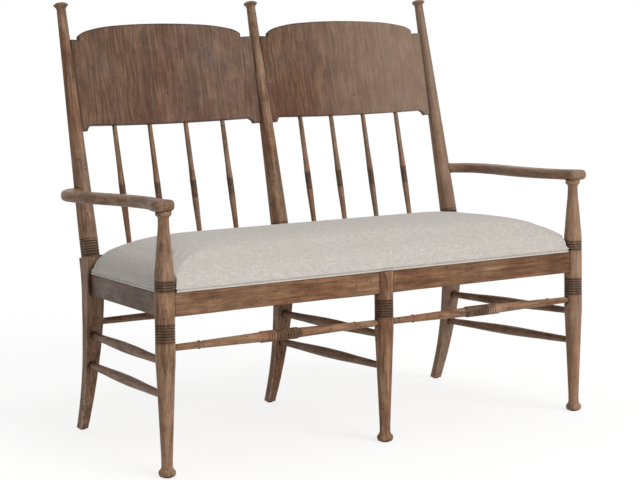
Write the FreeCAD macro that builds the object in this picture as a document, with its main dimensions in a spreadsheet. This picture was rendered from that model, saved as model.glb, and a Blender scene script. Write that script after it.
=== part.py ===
"""Two-bay deacon's bench: turned and sabre legs, a raked spindle back with two bent panels, a padded seat."""
import FreeCAD, Part
import math
import os
import Sketcher
from FreeCAD import Vector

# All lengths are millimetres and all angles degrees.  X runs to the sitter's left along the bench,
# Y from front to back and Z up.  The origin is on the floor under the middle of the whole bench.
SIZES = {
    # where the legs stand
    "front_y": 304.4,           # middle of the bench to the axis of the front feet
    "leg_spread": 589.5,        # middle to the outer front feet
    "leg_splay": 0.5,           # outer front legs lean in
    "leg_rake": 0.93,           # front legs lean back
    "back_y": 457.9,            # front feet to the post axes at the shoulder
    "post_spread": 541.0,       # middle to the outer posts
    "post_rake": 13.56,
    "post_lean": 0.46,          # outer posts lean in
    "shoulder_z": 435.5,        # where a square leg turns into a round post
    # turned front legs, heights along the leg from the floor
    "leg_d": 44.9,
    "foot_d": 39.3,
    "foot_sole_d": 31.0,
    "foot_widest": 9.5,
    "foot_top": 16.0,
    "foot_top_in": 4.2,         # the foot's upper edge steps in by this, then by as much again
    "foot_step": 1.6,
    "foot_neck": 30.0,
    "ankle_d": 26.0,
    "ankle_z": 41.0,
    "calf_d": 42.0,
    "calf_z": 236.0,
    "knee_z": 288.0,
    "low_ring_z": 303.4,        # lowest groove of the group under the rail
    "high_ring_z": 417.0,       # lowest groove of the group above the rail
    "high_ring_top": 438.0,
    "shaft_d": 39.8,
    "shaft_z": 472.0,
    "taper_d": 30.2,
    "taper_z": 530.0,
    "throat_d": 24.7,
    "throat_z": 571.0,
    "collar_d": 36.0,
    "collar_z": 583.5,
    "collar_edge": 2.5,
    "collar_top_d": 33.0,
    # turned grooves
    "ring_pitch": 6.2,
    "ring_depth": 1.5,
    "ring_reach": 0.43,         # half of a groove's width, as a share of the pitch
    "ring_round": 0.42,
    "leg_rings": 7,
    "arm_post_rings": 4,
    # back posts, lengths along the post from the shoulder
    "post_d": 45.0,
    "post_neck_d": 22.8,
    "post_seat_d": 42.0,
    "post_step": 1.2,           # a shadow line where the round starts
    "post_sink": 3.0,           # the round reaches this far into the square
    "post_ring_s": 4.8,
    "post_taper_s": 44.0,
    "post_length": 620.4,
    "neck_drop": 20.4,          # from the post's top down to its neck
    "finial_lip_drop": 7.9,
    "finial_lip_d": 34.0,
    "finial_drop": 5.6,
    "finial_d": 36.0,
    "finial_top_d": 17.0,
    # sabre legs, measured from the post axis at the shoulder
    "sabre_width": 45.0,
    "sabre_front": 24.9,
    "sabre_back_top": 16.6,
    "sabre_waist": 6.1,
    "sabre_waist_z": 330.0,
    "sabre_bend_z": 400.0,
    "sabre_front_sweep": 77.5,
    "sabre_back_sweep": 69.9,
    "sabre_top_bow": 3.4,
    "sabre_front_bow": 19.4,
    "sabre_back_bow": 17.5,
    "sabre_taper_z": 340.0,
    "sabre_calf_z": 185.0,
    "sabre_calf_w": 35.6,
    "sabre_foot_w": 19.4,
    # seat frame
    "seat_z": 409.5,            # top of the rails at the front
    "seat_slope": 1.75,         # the seat falls to the back
    "rail_h": 51.5,
    "rail_t": 22.0,
    "back_rail_t": 34.0,
    "rail_ease": 1.5,
    "tenon_t": 10.0,
    "tenon_h": 36.0,
    "tenon_stop": 7.0,          # a tenon stops this far from the leg's axis
    "post_tenon": 15.0,
    "joint_gap": 0.2,
    "clearance": 0.1,           # how far a cutting tool starts outside the wood
    "overrun": 5.0,             # how far a tenon reaches back into its own piece
    "touch_gap": 0.3,
    "block_leg": 66.0,
    "block_h": 26.0,
    "screw_share": 0.38,        # a block's screw stands this share of its legs from the corner
    "screw_d": 4.0,
    "screw_head_d": 8.0,
    "screw_head_h": 3.5,
    "screw_bite": 8.0,
    # seat
    "deck_t": 12.0,
    "deck_inset": 9.0,
    "deck_gap": 2.0,
    "seat_depth": 456.0,        # along the seat from the front rail's middle to the back edge
    "pad_inset": 6.0,
    "pad_low": 5.2,             # the overhang's lower edge
    "pad_lip": 0.8,
    "pad_bulge": 2.0,           # the sides swell past the rails
    "pad_side": 15.0,           # where the sides roll over into the top
    "pad_crown": 93.0,          # height in the middle
    "pad_fullness": 0.393,      # the smaller, the squarer the front and back edges
    "pad_end_fullness": 0.521,
    "pad_end_roll": 241.0,      # how far from an end the top is level
    "pad_corner": 31.0,
    "pad_crown_corner": 58.0,
    "pad_flat": 158.8,          # how far from the front and back edges the top is taken as level
    "pad_sections": 10,
    "pad_gap": 1.5,
    "welt_d": 4.6,
    "welt_inset": 1.6,
    # back: bow of the panels, spindles and back rails
    "back_bow": 30.0,
    "back_forward": 1.5,        # panels and spindles stand this far before the posts' middle
    "panel_t": 12.5,
    "crown_drop": 49.3,         # from the post's top down to the panel's highest point
    "hip_drop": 5.6,            # these four are measured down from that point
    "haunch_drop": 20.1,
    "step_drop": 33.0,
    "shoulder_drop": 42.4,
    "panel_hip_in": 144.7,
    "panel_haunch_in": 64.6,
    "panel_step_in": 42.0,
    "panel_end_bow": 1.4,
    "panel_haunch_bow": 1.9,
    "panel_high": 253.6,        # from the panel's lower edge to its highest point
    "ear_drop": 13.2,
    "panel_ear_in": 34.8,
    "panel_cove": 12.8,
    "panel_cove_bow": 2.6,
    "tongue_t": 6.0,
    "tongue_depth": 6.0,
    "tongue_drop": 5.0,
    # spindles, lengths along the rake from the post shoulder
    "spindle_pitch": 102.0,
    "spindle_d": 16.2,
    "spindle_top_d": 11.6,
    "spindle_foot_d": 12.6,
    "spindle_foot_s": -60.0,
    "spindle_low_s": -25.0,
    "spindle_swell_s": 120.0,
    "spindle_ring_s": 126.8,
    "spindle_ring_depth": 1.0,
    "spindle_fall_s": 170.0,
    "spindle_thin_s": 245.0,
    "spindle_thin_d": 13.0,
    "spindle_tenon": 14.0,
    "spindle_tenon_d": 8.0,
    # stretchers
    "socket_stop": 8.0,
    "stretcher_end_d": 15.2,
    "swell_share": 0.53,        # where a plain stretcher is half swollen, as a share of its half
    "side_stretcher_d": 24.2,
    "upper_front_z": 256.5,
    "upper_back_z": 244.5,
    "upper_back_in": -1.5,
    "lower_front_z": 181.0,
    "lower_back_z": 169.5,
    "lower_back_in": 11.0,
    "front_stretcher_z": 287.5,
    "front_stretcher_d": 22.6,
    "band_d": 27.0,
    "band_edge": 2.5,
    "band_length": 100.0,
    "band_pitch": 7.2,
    "band_rings": 10,
    "bead_out": 209.0,
    "bead_d": 20.0,
    "bead_w": 6.0,
    "bead_neck": 2.0,           # the bar is this much thicker beside the bead than at its end
    "back_stretcher_z": 277.0,
    "back_stretcher_in": -5.9,
    "back_stretcher_d": 20.5,
    # arms
    "arm_z": 603.3,             # middle of the arm over the front leg
    "arm_slope": 2.1,
    "arm_t": 25.2,
    "arm_w": 43.0,
    "arm_end_w": 50.0,
    "arm_overhang": 22.5,
    "arm_end_out": 5.0,         # the front end stands this far outside the leg's axis
    "arm_bow": 56.5,
    "arm_round": 10.0,
    "arm_tenon_d": 16.0,
    "arm_tenon": 15.0,
    "arm_dowel_d": 11.0,
    "arm_dowel_in": 13.0,
    "arm_dowel_out": 46.0,
    "arm_dowel_turn": 58.0,
    # glides
    "glide_d": 21.0,
    "back_glide_d": 15.0,
    "glide_h": 3.0,
    "glide_nail_d": 3.0,
    "glide_nail": 12.0,
}

os.makedirs("parts", exist_ok=True)
doc = FreeCAD.newDocument("DeaconsBench")
sheet = doc.addObject("Spreadsheet::Sheet", "Sizes")
for row, (alias, number) in enumerate(SIZES.items(), 1):
    sheet.set("A%d" % row, alias)
    sheet.set("B%d" % row, str(number))
    sheet.setAlias("B%d" % row, alias)
doc.recompute()


class Size:
    """A measure known both as a number and as a formula on the sheet."""

    def __init__(self, number, text=None):
        self.number = float(number)
        self.text = text or "(%.9g)" % number

    def __add__(self, other):
        other = measure(other)
        return Size(self.number + other.number, "(%s + %s)" % (self.text, other.text))

    def __sub__(self, other):
        other = measure(other)
        return Size(self.number - other.number, "(%s - %s)" % (self.text, other.text))

    def __mul__(self, other):
        other = measure(other)
        return Size(self.number * other.number, "(%s * %s)" % (self.text, other.text))

    def __truediv__(self, other):
        other = measure(other)
        return Size(self.number / other.number, "(%s / %s)" % (self.text, other.text))

    def __neg__(self):
        return Size(-self.number, "(0 - %s)" % self.text)

    def __radd__(self, other):
        return measure(other) + self

    def __rsub__(self, other):
        return measure(other) - self

    def __rmul__(self, other):
        return measure(other) * self


def measure(item):
    return item if isinstance(item, Size) else Size(item)


def tan(angle):
    return Size(math.tan(math.radians(angle.number)), "tan(%s)" % angle.text)


def sin(angle):
    return Size(math.sin(math.radians(angle.number)), "sin(%s)" % angle.text)


def cos(angle):
    return Size(math.cos(math.radians(angle.number)), "cos(%s)" % angle.text)


def atan(ratio):
    return Size(math.degrees(math.atan(ratio.number)), "(atan(%s) / (1 deg))" % ratio.text)


def root(item):
    return Size(math.sqrt(item.number), "sqrt(%s)" % item.text)


class Named:
    """The sheet's values by name."""

    def __getattr__(self, alias):
        return Size(sheet.get(alias), "Sizes.%s" % alias)


S = Named()
post_neck = S.post_length - S.neck_drop
panel_crown = S.post_length - S.crown_drop
panel_low = panel_crown - S.panel_high
panel_shoulder = panel_crown - S.shoulder_drop


class Frame:
    """A placement known both as numbers and as a formula: a shift, then turns about X, Y and Z."""

    def __init__(self, x=0, y=0, z=0, yaw=0, pitch=0, roll=0, made=None):
        if made:
            self.placement, self.text = made
            return
        x, y, z, yaw, pitch, roll = [measure(item) for item in (x, y, z, yaw, pitch, roll)]
        turn = FreeCAD.Rotation(yaw.number, pitch.number, roll.number)
        self.placement = FreeCAD.Placement(Vector(x.number, y.number, z.number), turn)
        shift = "create(<<vector>>; %s; %s; %s)" % (x.text, y.text, z.text)
        spin = "create(<<rotation>>; %s; %s; %s)" % (yaw.text, pitch.text, roll.text)
        self.text = "create(<<placement>>; %s; %s)" % (shift, spin)

    def __mul__(self, other):
        return Frame(made=(self.placement.multiply(other.placement), "%s * %s" % (self.text, other.text)))


def bind(item, **values):
    for name, amount in values.items():
        amount = measure(amount)
        setattr(item, name, amount.number)
        item.setExpression(name, amount.text)


def place(item, frame):
    item.Placement = frame.placement
    item.setExpression("Placement", frame.text)
    return item


def named(item, label):
    item.Label = label
    return item


# solids from sketches

def new_body(name):
    return doc.addObject("PartDesign::Body", name)


def plane_of(body, role):
    return [item for item in body.Origin.OriginFeatures if item.Role == role][0]


def new_sketch(body, name, role):
    sketch = body.newObject("Sketcher::SketchObject", name)
    sketch.AttachmentSupport = [(plane_of(body, role), "")]
    sketch.MapMode = "FlatFace"
    return sketch


def outline(sketch, points):
    """Closed outline through (x, y) or (x, y, bow) points.  A bow makes the run to the next point an arc
    that stands off its chord by that much, to the right of the way there."""
    points = [tuple(measure(item) for item in point) for point in points]
    count = len(points)
    for index, point in enumerate(points):
        after = points[(index + 1) % count]
        start = Vector(point[0].number, point[1].number, 0)
        end = Vector(after[0].number, after[1].number, 0)
        if len(point) == 2:
            sketch.addGeometry(Part.LineSegment(start, end), False)
            continue
        along = (end - start).normalize()
        middle = (start + end) * 0.5 + Vector(along.y, -along.x, 0) * point[2].number
        sketch.addGeometry(Part.ArcOfCircle(start, middle, end), False)
    firsts = [arc_start(sketch, index, points[index]) for index in range(count)]
    for index in range(count):
        last = 3 - firsts[index]
        after = (index + 1) % count
        sketch.addConstraint(Sketcher.Constraint("Coincident", index, last, after, firsts[after]))
    for index, point in enumerate(points):
        for kind, part in (("DistanceX", point[0]), ("DistanceY", point[1])):
            if abs(part.number) < 1e-9 and part.text == "(0)":
                axis = -2 if kind == "DistanceX" else -1
                sketch.addConstraint(Sketcher.Constraint("PointOnObject", index, firsts[index], axis))
                continue
            pin = sketch.addConstraint(Sketcher.Constraint(kind, index, firsts[index], part.number))
            label = "%s%d" % (kind[-1].lower(), index)
            sketch.renameConstraint(pin, label)
            sketch.setExpression("Constraints.%s" % label, part.text)
        if len(point) == 3:
            after = points[(index + 1) % count]
            wide = after[0] - point[0]
            high = after[1] - point[1]
            bow = point[2] if point[2].number > 0 else -point[2]
            radius = (wide * wide + high * high) / (8 * bow) + bow / 2
            pin = sketch.addConstraint(Sketcher.Constraint("Radius", index, radius.number))
            sketch.renameConstraint(pin, "r%d" % index)
            sketch.setExpression("Constraints.r%d" % index, radius.text)
    return sketch


def arc_start(sketch, index, point):
    """Which end of piece number index lies on the given point: an arc keeps its own sense of rotation."""
    here = Vector(point[0].number, point[1].number, 0)
    return 1 if sketch.getPoint(index, 1).distanceToPoint(here) < 1e-6 else 2


def add_pad(body, sketch, length, symmetric=False):
    pad = body.newObject("PartDesign::Pad", sketch.Name + "Pad")
    pad.Profile = sketch
    if symmetric:
        pad.SideType = "Symmetric"
    bind(pad, Length=length)
    body.Tip = pad
    return pad


def plate(name, points, length, role="XY_Plane", symmetric=False):
    """A flat piece: one outline pushed to a thickness."""
    body = new_body(name)
    sketch = outline(new_sketch(body, name + "Outline", role), points)
    add_pad(body, sketch, length, symmetric)
    return body


def rounded(low_x, low_y, wide, high, radius):
    """Points of a rectangle with rounded corners, anticlockwise from the lower left."""
    low_x, low_y, wide, high, radius = [measure(item) for item in (low_x, low_y, wide, high, radius)]
    bow = radius * (1 - math.sqrt(0.5))
    far_x = low_x + wide
    far_y = low_y + high
    return [(low_x + radius, low_y), (far_x - radius, low_y, bow), (far_x, low_y + radius),
            (far_x, far_y - radius, bow), (far_x - radius, far_y), (low_x + radius, far_y, bow),
            (low_x, far_y - radius), (low_x, low_y + radius, bow)]


def turning(name, points, groups=()):
    """A piece turned on the lathe.  points are (height, diameter) or (height, diameter, bow) up the outside,
    and groups are (lowest groove, diameter there, pitch, count, depth)."""
    body = new_body(name)
    sketch = new_sketch(body, name + "Profile", "XZ_Plane")
    side = []
    for point in points:
        point = [measure(item) for item in point]
        side.append((point[1] / 2, point[0]) + tuple(point[2:]))
    outline(sketch, [(0, side[0][1])] + side + [(0, side[-1][1])])
    solid = body.newObject("PartDesign::Revolution", name + "Turned")
    solid.Profile = sketch
    solid.ReferenceAxis = (sketch, ["V_Axis"])
    solid.Angle = 360
    body.Tip = solid
    doc.recompute()
    for number, (low, wide, pitch, count, depth) in enumerate(groups):
        low, wide, pitch, count, depth = [measure(item) for item in (low, wide, pitch, count, depth)]
        cut = new_sketch(body, "%sGroove%d" % (name, number), "XZ_Plane")
        reach = pitch * S.ring_reach
        skin = wide / 2 + S.clearance
        outside = skin + depth
        outline(cut, [(wide / 2 - depth, low, S.ring_round), (skin, low + reach), (outside, low + reach),
                      (outside, low - reach), (skin, low - reach, S.ring_round)])
        groove = body.newObject("PartDesign::Groove", "%sRing%d" % (name, number))
        groove.Profile = cut
        groove.ReferenceAxis = (cut, ["V_Axis"])
        groove.Angle = 360
        body.Tip = groove
        doc.recompute()
        rings = body.newObject("PartDesign::LinearPattern", "%sRings%d" % (name, number))
        rings.Originals = [groove]
        rings.Direction = (cut, ["V_Axis"])
        bind(rings, Length=pitch * (count - 1))
        rings.setExpression("Occurrences", count.text)
        rings.Occurrences = int(count.number)
        body.Tip = rings
    return body


# plain solids and joints

def box(name, frame, x, y, z, wide, deep, high):
    """A block whose low corner is (x, y, z) in the frame."""
    item = doc.addObject("Part::Box", name)
    bind(item, Length=wide, Width=deep, Height=high)
    return place(item, frame * Frame(x=x, y=y, z=z))


def rod(name, frame, low, length, diameter):
    """A round bar along the frame's Z axis."""
    item = doc.addObject("Part::Cylinder", name)
    bind(item, Radius=measure(diameter) / 2, Height=length)
    return place(item, frame * Frame(z=low))


def cone(name, frame, low, length, low_d, high_d):
    item = doc.addObject("Part::Cone", name)
    bind(item, Radius1=measure(low_d) / 2, Radius2=measure(high_d) / 2, Height=length)
    return place(item, frame * Frame(z=low))


def fuse(name, items):
    item = doc.addObject("Part::MultiFuse", name)
    item.Shapes = items
    item.Refine = False
    return item


def cut(name, base, tools):
    item = doc.addObject("Part::Cut", name)
    item.Base = base
    if len(tools) > 1:
        together = doc.addObject("Part::Compound", name + "Tools")
        together.Links = tools
        tools = [together]
    item.Tool = tools[0]
    return item


def common(name, items):
    item = doc.addObject("Part::MultiCommon", name)
    item.Shapes = items
    return item


SIDES = (("left", -1), ("centre", 0), ("right", 1))
BAYS = (("left", -1), ("right", 1))
nodes = []
blanks = {}
sockets = {}


def keep(item, label):
    """This object is a finished piece of the bench."""
    nodes.append(named(item, label))
    return item


def blank(label, item):
    """A piece that still waits for its holes and mortises."""
    blanks[label] = item


def socket(host, tool):
    """A hole or mortise that the host piece gets."""
    sockets.setdefault(host, []).append(tool)


def leg_frame(side):
    """On the floor at a front leg's axis, Z up the leg."""
    return Frame(x=side * S.leg_spread, y=-S.front_y, pitch=-side * S.leg_splay, roll=-S.leg_rake)


def post_frame(side):
    """At a post's shoulder, Z up the post."""
    return Frame(x=side * S.post_spread, y=S.back_y - S.front_y, z=S.shoulder_z,
                 pitch=-side * S.post_lean, roll=-S.post_rake)


rail_mid = S.seat_z - S.rail_h / 2
leg_at_rail = S.leg_spread - tan(S.leg_splay) * rail_mid
leg_back_at_rail = tan(S.leg_rake) * rail_mid
seat = Frame(y=leg_back_at_rail - S.front_y, z=S.seat_z, roll=-S.seat_slope)
back = Frame(y=S.back_y - S.front_y, z=S.shoulder_z, roll=-S.post_rake)
post_middle = (S.sabre_waist - S.sabre_front) / 2
post_at_seat = (S.back_y + post_middle - leg_back_at_rail) / cos(S.seat_slope)
post_face_at_seat = (S.back_y - S.sabre_front - leg_back_at_rail) / cos(S.seat_slope)
half_leg = S.leg_d / 2

# seat frame

for name, side in BAYS:
    # front rail: between the round legs, its ends hollowed to fit them
    low_x = -leg_at_rail if side < 0 else 0
    section = rounded(-S.rail_t / 2, 0, S.rail_t, S.rail_h, S.rail_ease)
    bar = plate("front_bar_" + name, section, leg_at_rail)
    place(bar, seat * Frame(x=low_x) * Frame(yaw=-90) * Frame(roll=-90))
    ends = []
    for end, leg in ((0, "centre"), (1, name)):
        leg_side = side * end
        at = seat * Frame(x=side * leg_at_rail * end)
        grip = rod("front_hollow_%s_%d" % (name, end), leg_frame(leg_side), S.seat_z - 2 * S.rail_h,
                   3 * S.rail_h, S.leg_d + 2 * S.touch_gap)
        ends.append(grip)
        inward = -side if end else side
        length = half_leg + S.overrun - S.tenon_stop
        low = S.tenon_stop if inward > 0 else -(half_leg + S.overrun)
        tongue = box("front_tenon_%s_%d" % (name, end), at, low, -S.tenon_t / 2,
                     -(S.rail_h + S.tenon_h) / 2, length, S.tenon_t, S.tenon_h)
        low = S.tenon_stop - S.joint_gap if inward > 0 else -(half_leg + S.overrun)
        hole = box("front_mortise_%s_%d" % (name, end), at, low, -S.tenon_t / 2 - S.joint_gap,
                   -(S.rail_h + S.tenon_h) / 2 - S.joint_gap, length + S.joint_gap,
                   S.tenon_t + 2 * S.joint_gap, S.tenon_h + 2 * S.joint_gap)
        socket("front_leg_" + leg, hole)
        ends.append(tongue)
    shaped = cut("front_shaped_" + name, bar, [ends[0], ends[2]])
    keep(fuse("front_rail_" + name, [shaped, ends[1], ends[3]]), "front_rail_" + name)

for name, side in SIDES:
    # side rails and the hidden middle rail: leg to post
    inset = (leg_at_rail - S.post_spread) * abs(side)
    yaw = atan(inset / post_at_seat) * side if side else measure(0)
    run_length = root(inset * inset + post_at_seat * post_at_seat)
    run = seat * Frame(x=side * leg_at_rail, yaw=yaw)
    bar = plate("side_bar_" + name, rounded(-S.rail_t / 2, 0, S.rail_t, S.rail_h, S.rail_ease), run_length)
    place(bar, run * Frame(roll=-90))
    hollow = rod("side_hollow_" + name, leg_frame(side), S.seat_z - 2 * S.rail_h, 3 * S.rail_h,
                 S.leg_d + 2 * S.touch_gap)
    upright = seat * Frame(x=side * S.post_spread, y=post_face_at_seat, roll=S.seat_slope)
    stop = box("side_stop_" + name, upright, -S.sabre_width, -S.touch_gap, -2 * S.rail_h,
               2 * S.sabre_width, 3 * S.rail_t, 3 * S.rail_h)
    shaped = cut("side_shaped_" + name, bar, [hollow, stop])
    low = -(S.rail_h + S.tenon_h) / 2
    front_length = half_leg + S.overrun - S.tenon_stop
    front = box("side_front_tenon_" + name, run, -S.tenon_t / 2, S.tenon_stop, low, S.tenon_t, front_length,
                S.tenon_h)
    hole = box("side_front_mortise_" + name, run, -S.tenon_t / 2 - S.joint_gap, S.tenon_stop - S.joint_gap,
               low - S.joint_gap, S.tenon_t + 2 * S.joint_gap, front_length + S.joint_gap,
               S.tenon_h + 2 * S.joint_gap)
    socket("front_leg_" + name, hole)
    rear_low = run_length - (post_at_seat - post_face_at_seat) - S.overrun
    rear_length = S.post_tenon + S.overrun
    rear = box("side_back_tenon_" + name, run, -S.tenon_t / 2, rear_low, low, S.tenon_t, rear_length,
               S.tenon_h)
    hole = box("side_back_mortise_" + name, run, -S.tenon_t / 2 - S.joint_gap, rear_low, low - S.joint_gap,
               S.tenon_t + 2 * S.joint_gap, rear_length + S.joint_gap, S.tenon_h + 2 * S.joint_gap)
    socket("back_post_" + name, hole)
    label = "side_rail_" + name if side else "middle_rail"
    keep(fuse(label, [shaped, front, rear]), label)


def bow_at(across, bay_half):
    """How far the bowed back stands behind the straight line between two posts, at a distance from the
    bay's middle."""
    radius = bay_half * bay_half / (2 * S.back_bow) + S.back_bow / 2
    return root(radius * radius - across * across) - (radius - S.back_bow)


half_bay = S.post_spread / 2
for name, side in BAYS:
    # back rail: bent like the panel above it, square to the posts at its ends
    middle = side * half_bay
    flat = half_bay - S.sabre_width / 2
    drop = S.back_bow - bow_at(flat, half_bay)
    out = post_at_seat + S.back_bow - drop
    thick = S.back_rail_t / 2
    at = seat * Frame(x=middle)
    bar = plate("back_bar_" + name, [(-flat, out - thick, -drop), (flat, out - thick),
                                     (flat, out + thick, drop), (-flat, out + thick)], S.rail_h)
    place(bar, at * Frame(z=-S.rail_h))
    pieces = [bar]
    low = -(S.rail_h + S.tenon_h) / 2
    for end, post in ((-1, "left" if side < 0 else "centre"), (1, "centre" if side < 0 else "right")):
        length = S.post_tenon + S.overrun
        start = flat - S.overrun if end > 0 else -(flat + S.post_tenon)
        tongue = box("back_tenon_%s_%s" % (name, post), at, start, post_at_seat - S.tenon_t / 2, low,
                     length, S.tenon_t, S.tenon_h)
        if end < 0:
            start = start - S.joint_gap
        hole = box("back_mortise_%s_%s" % (name, post), at, start,
                   post_at_seat - S.tenon_t / 2 - S.joint_gap, low - S.joint_gap,
                   length + S.joint_gap, S.tenon_t + 2 * S.joint_gap, S.tenon_h + 2 * S.joint_gap)
        pieces.append(tongue)
        socket("back_post_" + post, hole)
    blank("back_rail_" + name, fuse("back_joined_" + name, pieces))

# back panels and spindles


def post_cone(name, side, grow):
    """The tapered round of a post, grown or shrunk all round."""
    return cone(name, post_frame(side), S.post_taper_s, post_neck - S.post_taper_s,
                S.post_d + 2 * grow, S.post_neck_d + 2 * grow)


def bent_strip(name, frame, thick, low, high):
    """A bent board between two post axes."""
    half = thick / 2
    strip = plate(name, [(-half_bay, -half, -S.back_bow), (half_bay, -half), (half_bay, half, S.back_bow),
                         (-half_bay, half)], high - low)
    return place(strip, frame * Frame(z=low))


def cutout(name, frame, points):
    """A flat pattern that a bent board is sawn to."""
    pattern = plate(name, points, 4 * S.back_bow, "XZ_Plane", True)
    return place(pattern, frame)


ear_z = panel_low - S.ear_drop


def panel_pattern():
    ear = half_bay - S.panel_ear_in
    step = half_bay - S.panel_step_in
    haunch = half_bay - S.panel_haunch_in
    hip = half_bay - S.panel_hip_in
    step_z = panel_crown - S.step_drop
    haunch_z = panel_crown - S.haunch_drop
    hip_z = panel_crown - S.hip_drop
    return [(-half_bay, ear_z), (-ear, ear_z, -S.panel_cove_bow), (-(ear - S.panel_cove), panel_low),
            (ear - S.panel_cove, panel_low, -S.panel_cove_bow), (ear, ear_z), (half_bay, ear_z),
            (half_bay, panel_shoulder), (step, panel_shoulder), (step, step_z, S.panel_end_bow),
            (haunch, haunch_z, S.panel_haunch_bow), (hip, hip_z, S.hip_drop),
            (-hip, hip_z, S.panel_haunch_bow), (-haunch, haunch_z, S.panel_end_bow),
            (-step, step_z), (-step, panel_shoulder), (-half_bay, panel_shoulder)]


def tongue_pattern(grow):
    low = panel_low - grow
    high = panel_shoulder - S.tongue_drop + grow
    return [(-half_bay, low), (half_bay, low), (half_bay, high), (-half_bay, high)]


for name, side in BAYS:
    at = back * Frame(x=side * half_bay, y=-S.back_forward)
    ends = ((side, name), (0, "centre"))
    low, high = ear_z - S.panel_t, panel_crown + S.panel_t
    board = common("panel_sawn_" + name, [bent_strip("panel_strip_" + name, at, S.panel_t, low, high),
                                          cutout("panel_pattern_" + name, at, panel_pattern())])
    hollows = [post_cone("panel_hollow_%s_%s" % (name, post), at_side, S.touch_gap)
               for at_side, post in ends]
    board = cut("panel_fitted_" + name, board, hollows)
    tongue = common("tongue_sawn_" + name, [bent_strip("tongue_strip_" + name, at, S.tongue_t, low, high),
                                            cutout("tongue_pattern_" + name, at, tongue_pattern(0))])
    cores = [post_cone("tongue_core_%s_%s" % (name, post), at_side, -S.tongue_depth)
             for at_side, post in ends]
    tongue = cut("tongue_fitted_" + name, tongue, cores)
    blank("back_panel_" + name, fuse("panel_joined_" + name, [board, tongue]))
    groove = common("groove_sawn_" + name,
                    [bent_strip("groove_strip_" + name, at, S.tongue_t + 2 * S.joint_gap, low, high),
                     cutout("groove_pattern_" + name, at, tongue_pattern(S.joint_gap))])
    cores = [post_cone("groove_core_%s_%s" % (name, post), at_side, -S.tongue_depth - S.joint_gap)
             for at_side, post in ends]
    groove = cut("groove_fitted_" + name, groove, cores)
    socket("back_post_" + name, groove)
    socket("back_post_centre", groove)

SPINDLES_IN_BAY = 4
for bay, (name, side) in enumerate(BAYS):
    for turn in range(SPINDLES_IN_BAY):
        number = bay * SPINDLES_IN_BAY + turn + 1
        off = S.spindle_pitch * (turn - (SPINDLES_IN_BAY - 1) / 2)
        stand = back * Frame(x=side * half_bay + off, y=bow_at(off, half_bay) - S.back_forward)
        label = "spindle_%d" % number
        body = turning(label + "_turning",
                       [(S.spindle_foot_s, S.spindle_foot_d), (S.spindle_low_s, S.spindle_foot_d, -0.8),
                        (S.spindle_swell_s, S.spindle_d), (S.spindle_fall_s, S.spindle_d, -0.5),
                        (S.spindle_thin_s, S.spindle_thin_d), (panel_low - S.touch_gap, S.spindle_top_d),
                        (panel_low - S.touch_gap, S.spindle_tenon_d),
                        (panel_low + S.spindle_tenon, S.spindle_tenon_d)],
                       [(S.spindle_ring_s, S.spindle_d, S.ring_pitch, S.leg_rings, S.spindle_ring_depth)])
        keep(place(body, stand), label)
        hole = rod(label + "_foot_hole", stand, S.spindle_foot_s - S.joint_gap, 3 * S.spindle_foot_d,
                   S.spindle_foot_d + 2 * S.joint_gap)
        socket("back_rail_" + name, hole)
        hole = rod(label + "_top_hole", stand, panel_low - S.spindle_tenon,
                   2 * S.spindle_tenon + S.joint_gap, S.spindle_tenon_d + 2 * S.joint_gap)
        socket("back_panel_" + name, hole)

# legs and posts

foot = [(S.glide_h / 2, S.foot_sole_d, 0.8), (S.foot_widest, S.foot_d, 0.7),
        (S.foot_top, S.foot_d - S.foot_top_in),
        (S.foot_top + S.foot_step, S.foot_d - 2 * S.foot_top_in, -1.1),
        (S.foot_neck, S.ankle_d), (S.ankle_z, S.ankle_d), (S.calf_z, S.calf_d, 0.6), (S.knee_z, S.leg_d)]
shaft = [(S.high_ring_top, S.leg_d, 0.5), (S.shaft_z, S.shaft_d, 0.3), (S.taper_z, S.taper_d, -0.6),
         (S.throat_z, S.throat_d, -1.8), (S.collar_z - S.collar_edge, S.collar_d - S.collar_edge, 0.3),
         (S.collar_z, S.collar_d), (S.collar_z + S.collar_edge, S.collar_d, 0.5), (S.arm_z, S.collar_top_d)]
low_rings = (S.low_ring_z, S.leg_d, S.ring_pitch, S.leg_rings, S.ring_depth)
high_rings = (S.high_ring_z, S.leg_d, S.ring_pitch, S.arm_post_rings, S.ring_depth)

arm_x = S.leg_spread - tan(S.leg_splay) * S.arm_z
arm_y = tan(S.leg_rake) * S.arm_z
arm_fall = tan(S.arm_slope)
arm_on_post = ((S.arm_z - S.shoulder_z - arm_fall * (S.back_y - arm_y))
               / (cos(S.post_rake) + arm_fall * sin(S.post_rake)))
arm_post_x = S.post_spread - sin(S.post_lean) * arm_on_post
arm_reach = (S.back_y + sin(S.post_rake) * arm_on_post - arm_y) / cos(S.arm_slope)
post_r_at_arm = (S.post_d - (S.post_d - S.post_neck_d) * (arm_on_post - S.post_taper_s)
                 / (post_neck - S.post_taper_s)) / 2


def arm_frame(side):
    """In the middle of the arm's thickness, over the front leg's axis."""
    return Frame(x=side * arm_x, y=arm_y - S.front_y, z=S.arm_z, roll=-S.arm_slope)


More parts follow.
